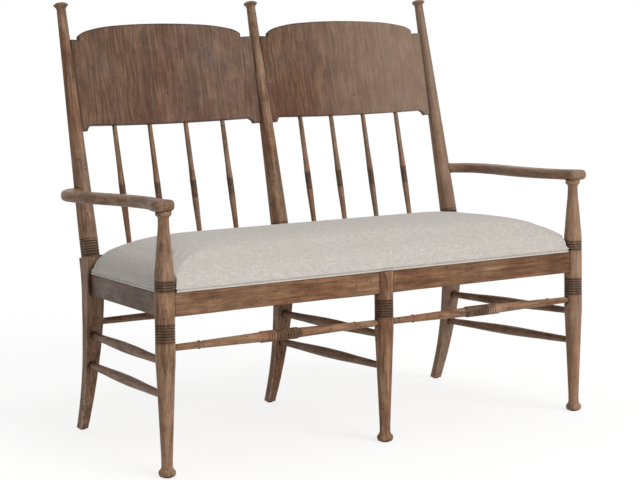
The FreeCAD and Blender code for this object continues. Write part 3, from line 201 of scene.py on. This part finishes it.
def wood(name, grain, tones, raked=False, figure=0.5, hollow_glaze_and_shade=0.75, edge_wear_and_shade=0.5, chips=0.0, fine=260.0, run=12.0,
         rough=0.43, calm=0.16, rim=0.0035, bands=(), right_end_sheen=0.0, pitted=0.5, seed=0.0):
    """Weathered stained wood: streaked grain, dark pooled finish and painted shade in the hollows, fly
    specks and paler worn edges.

    grain is the axis the fibres follow, and tones are the dark, middle and pale stain.  The larger calm is,
    the more even the stain.  wear above zero rubs the edges pale, and below zero lines them with painted
    shade, over the width rim.  glaze sets how dark the hollows get, pooled finish and painted shade
    together.  fade is how much painted sheen pales the right end, and pitted the share of places with a
    speck.  bands are the turned groups of grooves along the grain, each by its middle and half its length.
    """
    m = Material(name)
    dark, middle, pale = tones
    place = along_post(m) if raked else m.place
    place = m.vector("ADD", place, (seed, seed * 0.7, seed * 1.3))
    sway = m.noise(place, 9.0, 2.0)
    sway = m.math("MULTIPLY", m.math("SUBTRACT", sway, 0.5), 0.014)
    place = m.vector("ADD", place, m.join(sway, sway, sway))

    def stretched(across, along):
        return m.vector("MULTIPLY", place, tuple(along if axis == grain else across for axis in "xyz"))

    fibre = m.noise(stretched(fine, run), 1.0, 5.0, 0.62)
    streak = m.noise(stretched(fine * 0.42, run * 0.7), 1.0, 4.0, 0.6, 0.6)
    band = m.noise(stretched(fine * 0.07, run * 0.22), 1.0, 3.0, 0.5, 1.2)
    blotch = m.noise(place, 26.0, 5.0, 0.65)

    shares = (0.32, 0.36, 0.08 + 0.10 * figure, 0.22)
    tone = 0.0
    for part, share in zip((fibre, streak, band, blotch), shares):
        tone = m.math("ADD", tone, m.math("MULTIPLY", part, share))
    tone = m.remap(tone, sum(shares) * 0.5 - calm, sum(shares) * 0.5 + calm)
    ramp = m.add("ShaderNodeValToRGB", {0: tone})
    ramp.color_ramp.elements[0].color = dark
    ramp.color_ramp.elements[1].color = pale
    ramp.color_ramp.elements.new(0.5).color = middle
    colour = ramp.outputs[0]

    # drifts of redder and greyer stain over the whole piece
    warmth = m.noise(place, 5.0, 2.0)
    colour = m.mix(m.remap(warmth, 0.48, 0.68, 0.0, 0.35), colour, RED_DRIFT, "SOFT_LIGHT")
    colour = m.mix(m.remap(warmth, 0.50, 0.30, 0.0, 0.16), colour, GREY_DRIFT)

    # patches and short runs of darker glaze left by the rag
    left = m.noise(stretched(48.0, 20.0), 1.0, 5.0, 0.7, 0.8)
    colour = m.mix(m.remap(left, 0.52, 0.70, 0.0, 0.42), colour, RAG_GLAZE)

    # open pores, short and dark along the grain
    pores = m.cells(stretched(fine * 1.9, run * 5.0), 1.0).outputs["Distance"]
    pores = m.remap(pores, 0.30, 0.12)
    pores = m.math("MULTIPLY", pores, m.remap(m.noise(stretched(60.0, 12.0), 1.0, 2.0), 0.45, 0.62))
    colour = m.mix(m.math("MULTIPLY", pores, 0.45), colour, PORE_GLAZE)

    # fly specks and small dents filled with dark glaze
    specks = m.cells(m.vector("ADD", m.place, (3.1 + seed, 1.7, 0.4)), 80.0)
    chosen = m.math("LESS_THAN", m.split(specks.outputs["Color"])[0], pitted)
    speck = m.math("MULTIPLY", m.remap(specks.outputs["Distance"], 0.19, 0.09), chosen)
    colour = m.mix(m.math("MULTIPLY", speck, 0.8), colour, SPECK_GLAZE)

    # glaze left in grooves and joints plus painted shade there, and paler worn wood on the edges
    hollow = m.add("ShaderNodeAmbientOcclusion", {"Distance": 0.006}, samples=8).outputs["AO"]
    hollow = m.remap(hollow, 0.97, 0.66)
    patchiness = m.noise(m.place, 70.0, 3.0)
    hollow = m.math("MULTIPLY", hollow, m.remap(patchiness, 0.2, 0.6, 0.75, 1.0))
    bevel = m.add("ShaderNodeBevel", {"Radius": rim}, samples=6).outputs[0]
    normal = m.add("ShaderNodeNewGeometry").outputs["Normal"]
    turn = m.add("ShaderNodeVectorMath", {0: bevel, 1: normal}, operation="DOT_PRODUCT").outputs["Value"]
    edge = m.remap(turn, 0.99, 0.90)
    edge = m.math("MULTIPLY", edge, m.math("SUBTRACT", 1.0, hollow, clamp=True))
    rub = m.remap(m.noise(m.place, 34.0, 4.0, 0.6), 0.40, 0.62)
    if edge_wear_and_shade >= 0:
        colour = m.mix(m.math("MULTIPLY", m.math("MULTIPLY", edge, rub), edge_wear_and_shade), colour, RUBBED)
    else:
        # painted shade: the edges are lined dark
        colour = m.mix(m.math("MULTIPLY", edge, -edge_wear_and_shade), colour, EDGE_PAINTED_SHADE)
    if chips:
        # pale chips where the stain is knocked off, low on the legs
        low = m.remap(m.split(m.place)[2], 0.20, 0.08)
        chip = m.noise(m.vector("MULTIPLY", m.place, (85.0, 85.0, 55.0)), 1.0, 3.0, 0.6)
        chip = m.math("MULTIPLY", m.remap(chip, 0.48, 0.54), m.remap(turn, 0.999, 0.96))
        chip = m.math("MULTIPLY", m.math("MULTIPLY", chip, low), chips)
        colour = m.mix(chip, colour, CHIPPED)
    if right_end_sheen:
        # painted sheen: the colour is paler towards the bench's right end, where the light's sheen falls
        colour = m.mix(m.remap(m.split(m.place)[0], 0.08, 0.52, 0.0, right_end_sheen), colour, PAINTED_SHEEN)
    for middle_of_band, half_band in bands:
        along = m.math("ABSOLUTE", m.split(m.place)["xyz".index(grain)])
        away = m.math("ABSOLUTE", m.math("SUBTRACT", along, middle_of_band))
        near = m.remap(away, half_band + 0.003, half_band - 0.001)
        stain = m.math("MULTIPLY", near, m.remap(patchiness, 0.2, 0.7, 0.35, 0.62))
        colour = m.mix(stain, colour, RING_GLAZE)
    # painted shade: the occluded hollows and joints are darkened, over the glaze that pools there
    colour = m.mix(m.math("MULTIPLY", hollow, hollow_glaze_and_shade), colour, HOLLOW_GLAZE_AND_SHADE)

    m.give(m.shader.inputs["Base Color"], colour)
    gloss = m.noise(place, 22.0, 4.0, 0.6)
    gloss = m.remap(gloss, 0.3, 0.7, rough - 0.07, rough + 0.10)
    gloss = m.math("ADD", gloss, m.math("MULTIPLY", m.math("MAXIMUM", hollow, speck), 0.28), clamp=True)
    m.give(m.shader.inputs["Roughness"], gloss)
    m.shader.inputs["Specular IOR Level"].default_value = 0.16
    height = m.math("SUBTRACT", m.math("MULTIPLY", fibre, 0.5), m.math("MULTIPLY", pores, 0.6))
    dents = m.noise(place, 42.0, 2.0)
    relief = m.bump(dents, 0.0016, 0.55)
    relief = m.bump(height, 0.0004, 0.7, relief)
    relief = m.bump(m.math("MULTIPLY", speck, -1.0), 0.0009, 0.8, relief)
    m.give(m.shader.inputs["Normal"], relief)
    return m.material


# Below, the right ends get painted sheen, the hollows glaze and painted shade, and the panels and rails
# painted shade along their edges.
upright = wood("turned_upright", "z", BROWN, hollow_glaze_and_shade=0.95, edge_wear_and_shade=0.6, bands=LEG_BANDS, right_end_sheen=0.26)
raked = wood("turned_raked", "z", GREY, raked=True, hollow_glaze_and_shade=0.95, edge_wear_and_shade=0.6, chips=1.0, bands=POST_BANDS,
             right_end_sheen=0.26)
thin = wood("turned_spindle", "z", GREY, raked=True, hollow_glaze_and_shade=0.95, edge_wear_and_shade=0.6, bands=SPINDLE_BANDS, right_end_sheen=0.26,
            seed=0.9)
crosswise = wood("turned_lengthwise", "x", BROWN, hollow_glaze_and_shade=0.95, edge_wear_and_shade=0.35, bands=STRETCHER_BANDS, seed=2.3)
backwise = wood("turned_back_stretcher", "x", GREY, hollow_glaze_and_shade=0.95, edge_wear_and_shade=0.35, seed=2.9)
inward = wood("turned_front_to_back", "y", GREY, hollow_glaze_and_shade=0.95, edge_wear_and_shade=0.35, seed=4.1)
panel = wood("panel_upright", "z", PANEL, raked=True, figure=0.4, edge_wear_and_shade=-1.0, hollow_glaze_and_shade=0.7, fine=290.0,
             run=14.0, rough=0.42, calm=0.185, pitted=0.07, rim=0.007, right_end_sheen=0.34, seed=1.2)
arm = wood("arm_front_to_back", "y", GREY, hollow_glaze_and_shade=0.8, edge_wear_and_shade=0.7, right_end_sheen=0.26, seed=3.3)
rail_long = wood("rail_lengthwise", "x", RAIL, figure=0.6, calm=0.2, edge_wear_and_shade=-0.35, hollow_glaze_and_shade=0.75, seed=5.2)
# the side rails take the darkened tones as painted shade
rail_deep = wood("rail_front_to_back", "y", SHADED, figure=0.7, edge_wear_and_shade=-0.35, hollow_glaze_and_shade=0.75, seed=6.4)
inner = wood("inner_wood", "x", BARE, hollow_glaze_and_shade=0.25, edge_wear_and_shade=0.2, rough=0.62, seed=7.7)
ply = wood("deck_plywood", "x", PLY, figure=1.4, hollow_glaze_and_shade=0.2, edge_wear_and_shade=0.1, rough=0.6, seed=8.8)


def linen(name, pale, deep, thread):
    """Woven off-white linen: two sets of slubby threads that follow the cushion's curve without UVs."""
    m = Material(name)
    x, y, z = m.split(m.place)
    # distance along the cloth: outward and down count alike, so threads go on over the rolled edges
    across = m.math("SUBTRACT", m.math("ABSOLUTE", x), z)
    side = m.math("MULTIPLY", m.math("GREATER_THAN", x, 0.0), 0.37)
    across = m.math("ADD", across, side)
    back = m.math("GREATER_THAN", y, CLOTH_SPLIT_Y)
    deep_in = m.math("SUBTRACT", m.math("ABSOLUTE", m.math("SUBTRACT", y, CLOTH_SPLIT_Y)), z)
    deep_in = m.math("ADD", deep_in, m.math("MULTIPLY", back, 0.53))
    cloth = m.join(across, deep_in, 0.0)

    def yarn(along_x, along_y):
        return m.noise(m.vector("MULTIPLY", cloth, (along_x, along_y, 1.0)), 1.0, 3.0)

    warp = yarn(0.9 / thread, 26.0)
    weft = yarn(26.0, 0.9 / thread)
    slub_warp = yarn(330.0, 48.0)
    slub_weft = yarn(48.0, 330.0)
    heather = m.noise(m.place, 150.0, 3.0, 0.6)
    drift = m.noise(m.place, 7.0, 2.0)

    slub = m.math("MAXIMUM", m.remap(slub_warp, 0.52, 0.74), m.remap(slub_weft, 0.52, 0.74))
    tone = m.math("ADD", m.math("MULTIPLY", warp, 0.34), m.math("MULTIPLY", weft, 0.34))
    tone = m.math("ADD", tone, m.math("MULTIPLY", heather, 0.32))
    tone = m.remap(tone, 0.30, 0.70)
    colour = m.mix(tone, deep, pale)
    colour = m.mix(m.math("MULTIPLY", slub, 0.52), colour, SLUB)
    colour = m.mix(m.remap(drift, 0.35, 0.70, 0.0, 0.12), colour, CLOTH_DRIFT)
    # painted shade: the cloth is darkened in creases and against other parts, found by occlusion
    hollow = m.add("ShaderNodeAmbientOcclusion", {"Distance": 0.010}, samples=8).outputs["AO"]
    colour = m.mix(m.remap(hollow, 0.70, 0.15, 0.0, 0.55), colour, CLOTH_PAINTED_SHADE)
    m.give(m.shader.inputs["Base Color"], colour)
    m.give(m.shader.inputs["Roughness"], m.remap(tone, 0.0, 1.0, 0.96, 0.84))
    m.shader.inputs["Sheen Weight"].default_value = 0.22
    m.shader.inputs["Sheen Roughness"].default_value = 0.45
    m.shader.inputs["Specular IOR Level"].default_value = 0.25

    # over and under of plain weave, with slubs standing proud
    half = math.pi / thread
    u, v, w = m.split(m.vector("MULTIPLY", cloth, (half, half, 1.0)))
    weave = m.math("MULTIPLY", m.math("SINE", u), m.math("SINE", v))
    relief = m.bump(m.math("MULTIPLY", weave, 0.5), 0.00022, 0.6)
    relief = m.bump(m.math("ADD", tone, m.math("MULTIPLY", slub, 0.8)), 0.00045, 0.55, relief)
    m.give(m.shader.inputs["Normal"], relief)
    return m.material


cloth = linen("seat_linen_weave", linear(209, 203, 197), linear(176, 169, 163), SEAT_THREAD)
welt_cloth = linen("welt_linen_weave", linear(222, 215, 206), linear(188, 178, 166), WELT_THREAD)


def steel(name):
    """Zinc-plated screws: faintly mottled grey metal."""
    m = Material(name)
    spangle = m.noise(m.place, 900.0, 3.0)
    m.give(m.shader.inputs["Base Color"], m.mix(spangle, linear(150, 150, 146), linear(202, 202, 196)))
    m.shader.inputs["Metallic"].default_value = 1.0
    m.give(m.shader.inputs["Roughness"], m.remap(spangle, 0.3, 0.7, 0.30, 0.48))
    m.give(m.shader.inputs["Normal"], m.bump(spangle, 0.0001, 0.5))
    return m.material


def nylon(name):
    """Dark matt glides, dusty and scuffed near the floor."""
    m = Material(name)
    grain = m.noise(m.place, 1400.0, 2.0)
    scuff = m.noise(m.vector("MULTIPLY", m.place, (240.0, 240.0, 90.0)), 1.0, 4.0, 0.6)
    low = m.remap(m.split(m.place)[2], 0.004, 0.0)
    dust = m.math("MULTIPLY", m.remap(scuff, 0.45, 0.7), m.math("ADD", 0.35, m.math("MULTIPLY", low, 0.5)))
    m.give(m.shader.inputs["Base Color"], m.mix(dust, linear(44, 38, 34), linear(120, 110, 100)))
    m.give(m.shader.inputs["Roughness"], m.remap(scuff, 0.3, 0.7, 0.42, 0.68))
    m.give(m.shader.inputs["Normal"], m.bump(grain, 0.0001, 0.5))
    return m.material


zinc = steel("zinc_steel")
glide = nylon("glide_nylon")

DRESS = {
    "front_leg": upright, "back_post": raked, "spindle": thin, "back_panel": panel, "arm": arm,
    "front_stretcher": crosswise, "back_stretcher": backwise, "side_stretcher": inward,
    "front_rail": rail_long, "back_rail": rail_long, "side_rail": rail_deep,
    "middle_rail": inner, "corner_blocks": inner, "seat_deck": ply,
    "seat_pad": cloth, "seat_welt": welt_cloth, "deck_screws": zinc,
    "front_glides": glide, "back_glides": glide,
}
for node_name, node_object in nodes.items():
    prefix = max((key for key in DRESS if node_name.startswith(key)), key=len)
    node_object.data.materials.clear()
    node_object.data.materials.append(DRESS[prefix])


def height_over_seat(points):
    """How far points lie above the plane of the rails' tops."""
    slope = math.radians(SEAT_SLOPE)
    along = points[:, 1] - SEAT_FRONT[0]
    return (points[:, 2] - SEAT_FRONT[1]) * math.cos(slope) + along * math.sin(slope)


def positions(mesh):
    flat = np.empty(len(mesh.vertices) * 3)
    mesh.vertices.foreach_get("co", flat)
    return flat.reshape(-1, 3)


def normals(mesh):
    flat = np.empty(len(mesh.vertices) * 3)
    mesh.vertices.foreach_get("normal", flat)
    return flat.reshape(-1, 3)


def applied(piece):
    """Puts the piece's modifiers into its mesh."""
    depsgraph = bpy.context.evaluated_depsgraph_get()
    mesh = bpy.data.meshes.new_from_object(piece.evaluated_get(depsgraph))
    piece.modifiers.clear()
    old = piece.data
    piece.data = mesh
    bpy.data.meshes.remove(old)


def clear_of_posts(points, gap):
    """Moves points out of the outer front legs and the raked back posts, straight away from their axes."""
    out = points.copy()
    for side in (-1, 1):
        leg_x = side * (LEG_X - math.tan(math.radians(LEG_SPLAY)) * out[:, 2])
        leg_y = LEG_Y + math.tan(math.radians(LEG_RAKE)) * out[:, 2]
        out = pushed(out, leg_x, leg_y, 1.0, LEG_R + gap)
    for side in (-1, 0, 1):
        post_y = POST_Y + math.tan(math.radians(POST_RAKE)) * (out[:, 2] - SHOULDER_Z)
        out = pushed(out, side * POST_X, post_y, math.cos(math.radians(POST_RAKE)), POST_R + gap)
    return out


def pushed(points, axis_x, axis_y, lean, reach):
    """Points moved level out of an upright or leaning round bar of this radius."""
    away = np.stack([points[:, 0] - axis_x, (points[:, 1] - axis_y) * lean], 1)
    far = np.maximum(np.linalg.norm(away, axis=1), 1e-6)
    step = away / far[:, None] * np.clip(reach - far, 0, None)[:, None]
    out = points.copy()
    out[:, 0] += step[:, 0]
    out[:, 1] += step[:, 1] / lean
    return out


def end_share(points):
    """How far points lie on the cushion's end shoulders, from 0 to 1."""
    outer = np.abs(points[:, 0]) + SEAT_NARROWS * (points[:, 1] - SEAT_FRONT[0])
    inset = outer.max() - outer
    front = np.clip((points[:, 1] - SEAT_FRONT[0]) / END_EASE, 0, 1)
    return np.exp(-((inset - END_INSET) / END_WIDTH) ** 2) * front


def cushion():
    """The seat cushion: its own mesh from the pad's space, swollen as cloth over its pinned lower edge."""
    piece = bpy.data.objects.new("seat_cushion", nodes["seat_pad"].data.copy())
    scene.collection.objects.link(piece)
    remesh = piece.modifiers.new("even", "REMESH")
    remesh.mode = "VOXEL"
    remesh.voxel_size = CUSHION_VOXEL
    applied(piece)
    target = positions(piece.data)
    rise = height_over_seat(target)
    low, high = CUSHION_REST
    hold = np.clip((high - rise) / (high - low), 0, 1)
    target[:, 2] += END_LIFT * end_share(target) * (1 - hold)
    points = target - normals(piece.data) * (CUSHION_START * (1 - hold))[:, None]
    piece.data.vertices.foreach_set("co", points.ravel())
    piece.data.update()
    pin = piece.vertex_groups.new(name="pin")
    for index, weight in enumerate(hold):
        if weight > 0:
            pin.add([index], float(weight), "REPLACE")
    sim = piece.modifiers.new("cloth", "CLOTH")
    sim.settings.quality = 4
    sim.settings.mass = 0.4
    sim.settings.tension_stiffness = 12
    sim.settings.compression_stiffness = 12
    sim.settings.bending_stiffness = 1.5
    sim.settings.vertex_group_mass = "pin"
    sim.settings.use_pressure = True
    sim.settings.uniform_pressure_force = 4
    sim.settings.effector_weights.gravity = 0
    sim.collision_settings.use_collision = False
    sim.point_cache.frame_start = 1
    sim.point_cache.frame_end = SIM_FRAMES
    for step in range(1, SIM_FRAMES + 1):
        scene.frame_set(step)
    applied(piece)
    scene.frame_set(1)
    swollen = positions(piece.data)
    move = swollen - target
    size = np.maximum(np.linalg.norm(move, axis=1), 1e-9)
    points = target + move * (CUSHION_CAP * np.tanh(size / CUSHION_CAP) / size)[:, None]
    points = points * (1 - hold)[:, None] + target * hold[:, None]
    points = clear_of_posts(points, POST_GAP)
    piece.data.vertices.foreach_set("co", points.ravel())
    smooth = piece.modifiers.new("finer", "SUBSURF")
    smooth.levels = 1
    smooth.render_levels = 1
    applied(piece)
    piece.data.materials.clear()
    piece.data.materials.append(cloth)
    for face in piece.data.polygons:
        face.use_smooth = True
    return piece


seat = cushion()
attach(seat, "root")
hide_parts("seat_pad")


def stage_floor():
    """A pale floor that shows white to the camera and still takes the bench's shadow."""
    data = bpy.data.meshes.new("floor")
    corners = [(x * FLOOR_HALF, y * FLOOR_HALF, 0) for x, y in ((-1, -1), (1, -1), (1, 1), (-1, 1))]
    data.from_pydata(corners, [], [(0, 1, 2, 3)])
    floor = bpy.data.objects.new("floor", data)
    scene.collection.objects.link(floor)
    m = Material("floor_pale")
    m.shader.inputs["Base Color"].default_value = (0.8, 0.8, 0.8, 1)
    m.shader.inputs["Roughness"].default_value = 0.9
    m.shader.inputs["Specular IOR Level"].default_value = 0.1
    rays = m.add("ShaderNodeLightPath").outputs
    seen = m.math("MAXIMUM", rays["Is Camera Ray"], m.math("MAXIMUM", rays["Is Glossy Ray"],
                                                           rays["Is Transmission Ray"]))
    shadow = m.add("ShaderNodeBsdfDiffuse", {"Color": (1.2, 1.2, 1.2, 1)}).outputs[0]
    white = m.add("ShaderNodeEmission", {"Color": (1, 1, 1, 1), "Strength": 1.0}).outputs[0]
    shown = m.add("ShaderNodeMixShader", {0: FLOOR_WHITE, 1: shadow, 2: white}).outputs[0]
    both = m.add("ShaderNodeMixShader", {0: seen, 1: m.shader.outputs[0], 2: shown}).outputs[0]
    m.tree.links.new(both, m.output.inputs["Surface"])
    data.materials.append(m.material)


stage_floor()


def world_light(strength):
    """Even white light from all round, and plain white where the camera looks past the floor."""
    world = bpy.data.worlds.new("studio")
    scene.world = world
    world.use_nodes = True
    tree = world.node_tree
    tree.nodes.clear()
    output = tree.nodes.new("ShaderNodeOutputWorld")
    rays = tree.nodes.new("ShaderNodeLightPath")
    lit = tree.nodes.new("ShaderNodeBackground")
    lit.inputs["Color"].default_value = (1, 1, 1, 1)
    lit.inputs["Strength"].default_value = strength
    white = tree.nodes.new("ShaderNodeBackground")
    white.inputs["Color"].default_value = (1, 1, 1, 1)
    white.inputs["Strength"].default_value = 1.0
    mix = tree.nodes.new("ShaderNodeMixShader")
    seen = rays.outputs["Is Camera Ray"]
    for other in ("Is Glossy Ray", "Is Transmission Ray"):
        either = tree.nodes.new("ShaderNodeMath")
        either.operation = "MAXIMUM"
        tree.links.new(seen, either.inputs[0])
        tree.links.new(rays.outputs[other], either.inputs[1])
        seen = either.outputs[0]
    tree.links.new(seen, mix.inputs[0])
    tree.links.new(lit.outputs[0], mix.inputs[1])
    tree.links.new(white.outputs[0], mix.inputs[2])
    tree.links.new(mix.outputs[0], output.inputs["Surface"])


def sun(name, toward, spread, strength):
    """A soft even lamp on one side of the sky: toward points from the bench to it."""
    data = bpy.data.lights.new(name, "SUN")
    data.angle = math.radians(spread)
    data.energy = strength
    lamp = bpy.data.objects.new(name, data)
    scene.collection.objects.link(lamp)
    lamp.rotation_euler = Vector(toward).to_track_quat("Z", "Y").to_euler()


world_light(WORLD_LIGHT)
sun("key", (0.25, -0.90, 0.62), 42, 2.0)
sun("overhead", (0.1, 0.3, 1.0), 80, 0.55)


def camera():
    """The photograph's view, solved from the bench's own straight lines."""
    data = bpy.data.cameras.new("view")
    data.sensor_width = 36.0
    data.lens = LENS
    data.clip_end = 100
    view = bpy.data.objects.new("view", data)
    scene.collection.objects.link(view)
    yaw, pitch, roll = (math.radians(angle) for angle in CAMERA_ANGLES)
    ahead = Vector((-math.sin(yaw) * math.cos(pitch), math.cos(yaw) * math.cos(pitch), -math.sin(pitch)))
    level = Vector((math.cos(yaw), math.sin(yaw), 0))
    up = level.cross(ahead)
    right = math.cos(roll) * level + math.sin(roll) * up
    top = math.cos(roll) * up - math.sin(roll) * level
    turn = Matrix((right, top, -ahead)).transposed()
    view.matrix_world = Matrix.Translation(CAMERA_PLACE) @ turn.to_4x4()
    scene.camera = view


camera()
scene.view_settings.view_transform = "Standard"
